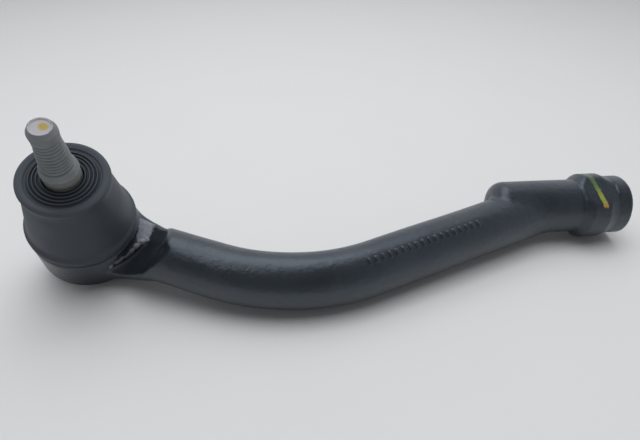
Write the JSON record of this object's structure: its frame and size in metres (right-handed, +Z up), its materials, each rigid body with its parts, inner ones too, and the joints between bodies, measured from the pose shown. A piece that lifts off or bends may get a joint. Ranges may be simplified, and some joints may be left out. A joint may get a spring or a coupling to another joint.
{
  "type": "outer tie rod end",
  "caption": "Outer tie rod end: a cranked forged arm with an internally threaded barrel and wrench flats, leading to a booted ball joint with a threaded stud.",
  "frame": {"origin": "on the supporting surface, under the middle of the part's bounding box as it lies at rest", "axes": "+Z up from the supporting surface, +X along the length from the ball joint towards the threaded barrel, +Y completes the right-handed set"},
  "size_m": [0.2658, 0.0752, 0.0836],
  "materials": {
    "forging": "satin black paint over a shot-blasted forged skin",
    "stud": "matt grey-green phosphate",
    "seat_polymer": "moulded acetal, greased",
    "spring_steel": "oiled spring steel",
    "plug_steel": "zinc plated pressing",
    "seal_rubber": "black nitrile",
    "boot_rubber": "matt black moulded rubber",
    "ring_steel": "dark spring steel"
  },
  "bodies": {
    "arm": {"forged_arm": "forging", "upper_ball_seat": "seat_polymer", "lower_ball_seat": "seat_polymer", "preload_spring": "spring_steel", "closing_plug": "plug_steel", "plug_seal_ring": "seal_rubber", "boot_base_ring": "ring_steel"},
    "boot": {"dust_boot": "boot_rubber"},
    "boot_collar": {"boot_top_ring": "ring_steel", "boot_garter_ring": "ring_steel"},
    "stud": {"ball_stud": "stud"}
  },
  "joints": [
    {"name": "stud_swing_x", "type": "hinge", "parent": "arm", "child": "boot", "pos_m": [-0.10887, -0.00419, 0.02437], "axis": [0.9784, 0.0792, -0.1909], "range_deg": [-16, 16], "deforming": ["dust_boot"]},
    {"name": "stud_swing_y", "type": "hinge", "parent": "boot", "child": "boot_collar", "pos_m": [-0.10887, -0.00419, 0.02437], "axis": [0, 0.9237, 0.3832], "range_deg": [-16, 16]},
    {"name": "stud_spin", "type": "hinge", "parent": "boot_collar", "child": "stud", "pos_m": [-0.10887, -0.00419, 0.02437], "axis": [0.2067, -0.3749, 0.9037], "continuous": true}
  ]
}
